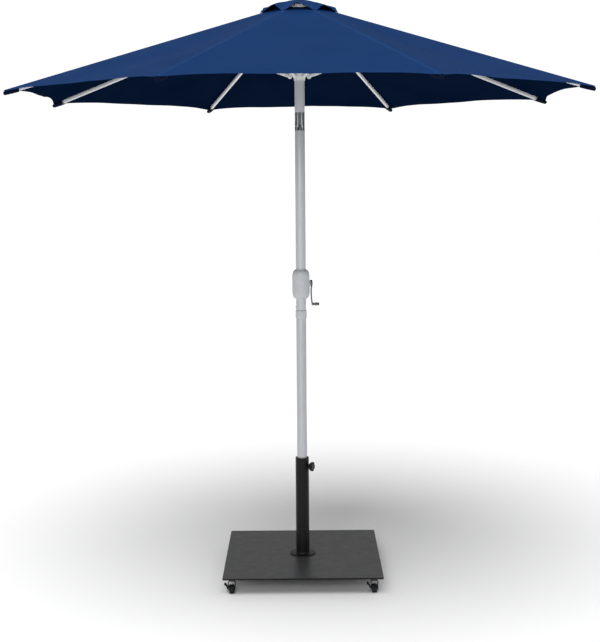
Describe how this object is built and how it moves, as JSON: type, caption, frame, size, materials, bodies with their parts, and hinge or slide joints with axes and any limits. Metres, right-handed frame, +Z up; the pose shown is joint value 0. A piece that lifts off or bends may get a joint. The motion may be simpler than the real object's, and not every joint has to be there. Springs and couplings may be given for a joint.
{
  "type": "patio umbrella with base",
  "caption": "Tall crank-and-tilt patio umbrella: an eight-sided vented canopy on a silver pole, standing in a square steel base plate on swivel casters.",
  "frame": {"origin": "on the floor, under the pole's axis, with all casters resting on it", "axes": "+Z up along the pole, -Y the front, towards which the top tilts, +X the crank's side"},
  "size_m": [2.4206, 2.4206, 2.6383],
  "materials": {
    "base_plate": "dark grey powder coat",
    "black_steel": "black powder coat",
    "black_plastic": "moulded, fine texture",
    "grey_plastic": "silver-grey moulded",
    "white_plastic": "moulded",
    "tyre": "hard rubber tread",
    "pole": "satin silver",
    "rib": "silver painted",
    "zinc": "zinc plated",
    "chrome": "polished",
    "canvas": "woven polyester, matt"
  },
  "bodies": {
    "base": {"base_plate": "base_plate", "base_tube": "black_steel", "tube_insert": "black_plastic"},
    "clamp_stud": {"clamp_stud": "zinc"},
    "clamp_knob": {"clamp_knob": "black_plastic"},
    "pole_foot": {"pole_foot": "black_plastic"},
    "mast": {"lower_pole": "pole", "pole_collar": "grey_plastic", "upper_pole": "pole", "crank_housing_front": "grey_plastic", "crank_housing_rear": "grey_plastic", "tilt_clevis": "zinc", "tilt_pin": "zinc"},
    "snap_button": {"snap_button": "zinc"},
    "crank": {"cord_spool": "white_plastic", "crank_arm": "chrome"},
    "crank_grip": {"crank_grip": "chrome"},
    "head": {"canopy_tube": "pole", "tilt_knuckle": "zinc", "tilt_spring": "zinc", "top_hub": "white_plastic", "finial": "white_plastic", "vent_cap": "canvas"},
    "cord_pulley": {"cord_pulley": "white_plastic"},
    "runner": {"runner": "white_plastic"},
    "caster_fork_1": {"caster_fork_1": "black_plastic"},
    "caster_wheel_1": {"caster_wheel_1": "tyre"},
    "caster_brake_1": {"caster_brake_1": "black_plastic"},
    "caster_fork_2": {"caster_fork_2": "black_plastic"},
    "caster_wheel_2": {"caster_wheel_2": "tyre"},
    "caster_brake_2": {"caster_brake_2": "black_plastic"},
    "caster_fork_3": {"caster_fork_3": "black_plastic"},
    "caster_wheel_3": {"caster_wheel_3": "tyre"},
    "caster_fork_4": {"caster_fork_4": "black_plastic"},
    "caster_wheel_4": {"caster_wheel_4": "tyre"},
    "rib_1": {"rib_1": "rib", "canopy_1": "canvas"},
    "strut_1": {"strut_1": "rib"},
    "rib_2": {"rib_2": "rib", "canopy_2": "canvas"},
    "strut_2": {"strut_2": "rib"},
    "rib_3": {"rib_3": "rib", "canopy_3": "canvas"},
    "strut_3": {"strut_3": "rib"},
    "rib_4": {"rib_4": "rib", "canopy_4": "canvas"},
    "strut_4": {"strut_4": "rib"},
    "rib_5": {"rib_5": "rib", "canopy_5": "canvas"},
    "strut_5": {"strut_5": "rib"},
    "rib_6": {"rib_6": "rib", "canopy_6": "canvas"},
    "strut_6": {"strut_6": "rib"},
    "rib_7": {"rib_7": "rib", "canopy_7": "canvas"},
    "strut_7": {"strut_7": "rib"},
    "rib_8": {"rib_8": "rib", "canopy_8": "canvas"},
    "strut_8": {"strut_8": "rib"}
  },
  "joints": [
    {"name": "clamp_screw", "type": "slide", "parent": "base", "child": "clamp_stud", "axis": [0.9063, -0.4226, 0], "range_m": [0, 0.006]},
    {"name": "clamp_knob_turn", "type": "hinge", "parent": "clamp_stud", "child": "clamp_knob", "pos_m": [0, 0, 0.5], "axis": [0.9063, -0.4226, 0], "range_deg": [-1, 1441]},
    {"name": "pole_lift", "type": "slide", "parent": "base", "child": "pole_foot", "axis": [0, 0, 1], "range_m": [0, 0.45]},
    {"name": "pole_turn", "type": "hinge", "parent": "pole_foot", "child": "mast", "pos_m": [0, 0, 0], "axis": [0, 0, 1], "continuous": true},
    {"name": "snap_button_press", "type": "slide", "parent": "mast", "child": "snap_button", "axis": [1, 0, 0], "range_m": [0, 0.003], "stiffness_N_per_m": 800},
    {"name": "crank_turn", "type": "hinge", "parent": "mast", "child": "crank", "pos_m": [0, 0, 1.347], "axis": [1, 0, 0], "range_deg": [-2521, 1]},
    {"name": "crank_grip_spin", "type": "hinge", "parent": "crank", "child": "crank_grip", "pos_m": [0.07, 0, 1.255], "axis": [1, 0, 0], "continuous": true},
    {"name": "tilt", "type": "hinge", "parent": "mast", "child": "head", "pos_m": [0, 0, 2.062], "axis": [1, 0, 0], "range_deg": [0, 30]},
    {"name": "pulley_turn", "type": "hinge", "parent": "head", "child": "cord_pulley", "pos_m": [0, 0, 2.52943], "axis": [1, 0, 0], "range_deg": [-1, 2521]},
    {"name": "runner_slide", "type": "slide", "parent": "head", "child": "runner", "axis": [0, 0, 1], "range_m": [-0.6002, 0]},
    {"name": "caster_swivel_1", "type": "hinge", "parent": "base", "child": "caster_fork_1", "pos_m": [-0.316, -0.316, 0.06], "axis": [0, 0, 1], "continuous": true},
    {"name": "wheel_roll_1", "type": "hinge", "parent": "caster_fork_1", "child": "caster_wheel_1", "pos_m": [-0.316, -0.306, 0.02], "axis": [1, 0, 0], "continuous": true},
    {"name": "brake_press_1", "type": "hinge", "parent": "caster_fork_1", "child": "caster_brake_1", "pos_m": [-0.335, -0.306, 0.024], "axis": [0, -1, 0], "range_deg": [0, 25]},
    {"name": "caster_swivel_2", "type": "hinge", "parent": "base", "child": "caster_fork_2", "pos_m": [0.316, -0.316, 0.06], "axis": [0, 0, 1], "continuous": true},
    {"name": "wheel_roll_2", "type": "hinge", "parent": "caster_fork_2", "child": "caster_wheel_2", "pos_m": [0.316, -0.306, 0.02], "axis": [1, 0, 0], "continuous": true},
    {"name": "brake_press_2", "type": "hinge", "parent": "caster_fork_2", "child": "caster_brake_2", "pos_m": [0.297, -0.306, 0.024], "axis": [0, -1, 0], "range_deg": [0, 25]},
    {"name": "caster_swivel_3", "type": "hinge", "parent": "base", "child": "caster_fork_3", "pos_m": [0.316, 0.316, 0.06], "axis": [0, 0, 1], "continuous": true},
    {"name": "wheel_roll_3", "type": "hinge", "parent": "caster_fork_3", "child": "caster_wheel_3", "pos_m": [0.316, 0.326, 0.02], "axis": [1, 0, 0], "continuous": true},
    {"name": "caster_swivel_4", "type": "hinge", "parent": "base", "child": "caster_fork_4", "pos_m": [-0.316, 0.316, 0.06], "axis": [0, 0, 1], "continuous": true},
    {"name": "wheel_roll_4", "type": "hinge", "parent": "caster_fork_4", "child": "caster_wheel_4", "pos_m": [-0.316, 0.326, 0.02], "axis": [1, 0, 0], "continuous": true},
    {"name": "rib_fold_1", "type": "hinge", "parent": "head", "child": "rib_1", "pos_m": [0.01799, -0.04342, 2.58543], "axis": [0.9239, 0.3827, 0], "range_deg": [-0.1, 66.6], "deforming": ["canopy_1"]},
    {"name": "strut_fold_1", "type": "hinge", "parent": "rib_1", "child": "strut_1", "pos_m": [0.18116, -0.43735, 2.43422], "axis": [-0.9239, -0.3827, 0], "range_deg": [-0.1, 133.1]},
    {"name": "rib_fold_2", "type": "hinge", "parent": "head", "child": "rib_2", "pos_m": [0.04342, -0.01799, 2.58543], "axis": [0.3827, 0.9239, 0], "range_deg": [-0.1, 66.6], "deforming": ["canopy_2"]},
    {"name": "strut_fold_2", "type": "hinge", "parent": "rib_2", "child": "strut_2", "pos_m": [0.43735, -0.18116, 2.43422], "axis": [-0.3827, -0.9239, 0], "range_deg": [-0.1, 133.1]},
    {"name": "rib_fold_3", "type": "hinge", "parent": "head", "child": "rib_3", "pos_m": [0.04342, 0.01799, 2.58543], "axis": [-0.3827, 0.9239, 0], "range_deg": [-0.1, 66.6], "deforming": ["canopy_3"]},
    {"name": "strut_fold_3", "type": "hinge", "parent": "rib_3", "child": "strut_3", "pos_m": [0.43735, 0.18116, 2.43422], "axis": [0.3827, -0.9239, 0], "range_deg": [-0.1, 133.1]},
    {"name": "rib_fold_4", "type": "hinge", "parent": "head", "child": "rib_4", "pos_m": [0.01799, 0.04342, 2.58543], "axis": [-0.9239, 0.3827, 0], "range_deg": [-0.1, 66.6], "deforming": ["canopy_4"]},
    {"name": "strut_fold_4", "type": "hinge", "parent": "rib_4", "child": "strut_4", "pos_m": [0.18116, 0.43735, 2.43422], "axis": [0.9239, -0.3827, 0], "range_deg": [-0.1, 133.1]},
    {"name": "rib_fold_5", "type": "hinge", "parent": "head", "child": "rib_5", "pos_m": [-0.01799, 0.04342, 2.58543], "axis": [-0.9239, -0.3827, 0], "range_deg": [-0.1, 66.6], "deforming": ["canopy_5"]},
    {"name": "strut_fold_5", "type": "hinge", "parent": "rib_5", "child": "strut_5", "pos_m": [-0.18116, 0.43735, 2.43422], "axis": [0.9239, 0.3827, 0], "range_deg": [-0.1, 133.1]},
    {"name": "rib_fold_6", "type": "hinge", "parent": "head", "child": "rib_6", "pos_m": [-0.04342, 0.01799, 2.58543], "axis": [-0.3827, -0.9239, 0], "range_deg": [-0.1, 66.6], "deforming": ["canopy_6"]},
    {"name": "strut_fold_6", "type": "hinge", "parent": "rib_6", "child": "strut_6", "pos_m": [-0.43735, 0.18116, 2.43422], "axis": [0.3827, 0.9239, 0], "range_deg": [-0.1, 133.1]},
    {"name": "rib_fold_7", "type": "hinge", "parent": "head", "child": "rib_7", "pos_m": [-0.04342, -0.01799, 2.58543], "axis": [0.3827, -0.9239, 0], "range_deg": [-0.1, 66.6], "deforming": ["canopy_7"]},
    {"name": "strut_fold_7", "type": "hinge", "parent": "rib_7", "child": "strut_7", "pos_m": [-0.43735, -0.18116, 2.43422], "axis": [-0.3827, 0.9239, 0], "range_deg": [-0.1, 133.1]},
    {"name": "rib_fold_8", "type": "hinge", "parent": "head", "child": "rib_8", "pos_m": [-0.01799, -0.04342, 2.58543], "axis": [0.9239, -0.3827, 0], "range_deg": [-0.1, 66.6], "deforming": ["canopy_8"]},
    {"name": "strut_fold_8", "type": "hinge", "parent": "rib_8", "child": "strut_8", "pos_m": [-0.18116, -0.43735, 2.43422], "axis": [-0.9239, 0.3827, 0], "range_deg": [-0.1, 133.1]}
  ],
  "couplings": [
    {"joint": "clamp_knob_turn", "follows": "clamp_screw", "rad_per_m": 4188.8},
    {"joint": "crank_turn", "follows": "runner_slide", "rad_per_m": 73.279},
    {"joint": "pulley_turn", "follows": "runner_slide", "rad_per_m": -73.279},
    {"joint": "rib_fold_1", "follows": "runner_slide", "rad_per_m": -1.9337},
    {"joint": "strut_fold_1", "follows": "runner_slide", "rad_per_m": -3.8675},
    {"joint": "rib_fold_2", "follows": "runner_slide", "rad_per_m": -1.9337},
    {"joint": "strut_fold_2", "follows": "runner_slide", "rad_per_m": -3.8675},
    {"joint": "rib_fold_3", "follows": "runner_slide", "rad_per_m": -1.9337},
    {"joint": "strut_fold_3", "follows": "runner_slide", "rad_per_m": -3.8675},
    {"joint": "rib_fold_4", "follows": "runner_slide", "rad_per_m": -1.9337},
    {"joint": "strut_fold_4", "follows": "runner_slide", "rad_per_m": -3.8675},
    {"joint": "rib_fold_5", "follows": "runner_slide", "rad_per_m": -1.9337},
    {"joint": "strut_fold_5", "follows": "runner_slide", "rad_per_m": -3.8675},
    {"joint": "rib_fold_6", "follows": "runner_slide", "rad_per_m": -1.9337},
    {"joint": "strut_fold_6", "follows": "runner_slide", "rad_per_m": -3.8675},
    {"joint": "rib_fold_7", "follows": "runner_slide", "rad_per_m": -1.9337},
    {"joint": "strut_fold_7", "follows": "runner_slide", "rad_per_m": -3.8675},
    {"joint": "rib_fold_8", "follows": "runner_slide", "rad_per_m": -1.9337},
    {"joint": "strut_fold_8", "follows": "runner_slide", "rad_per_m": -3.8675}
  ]
}
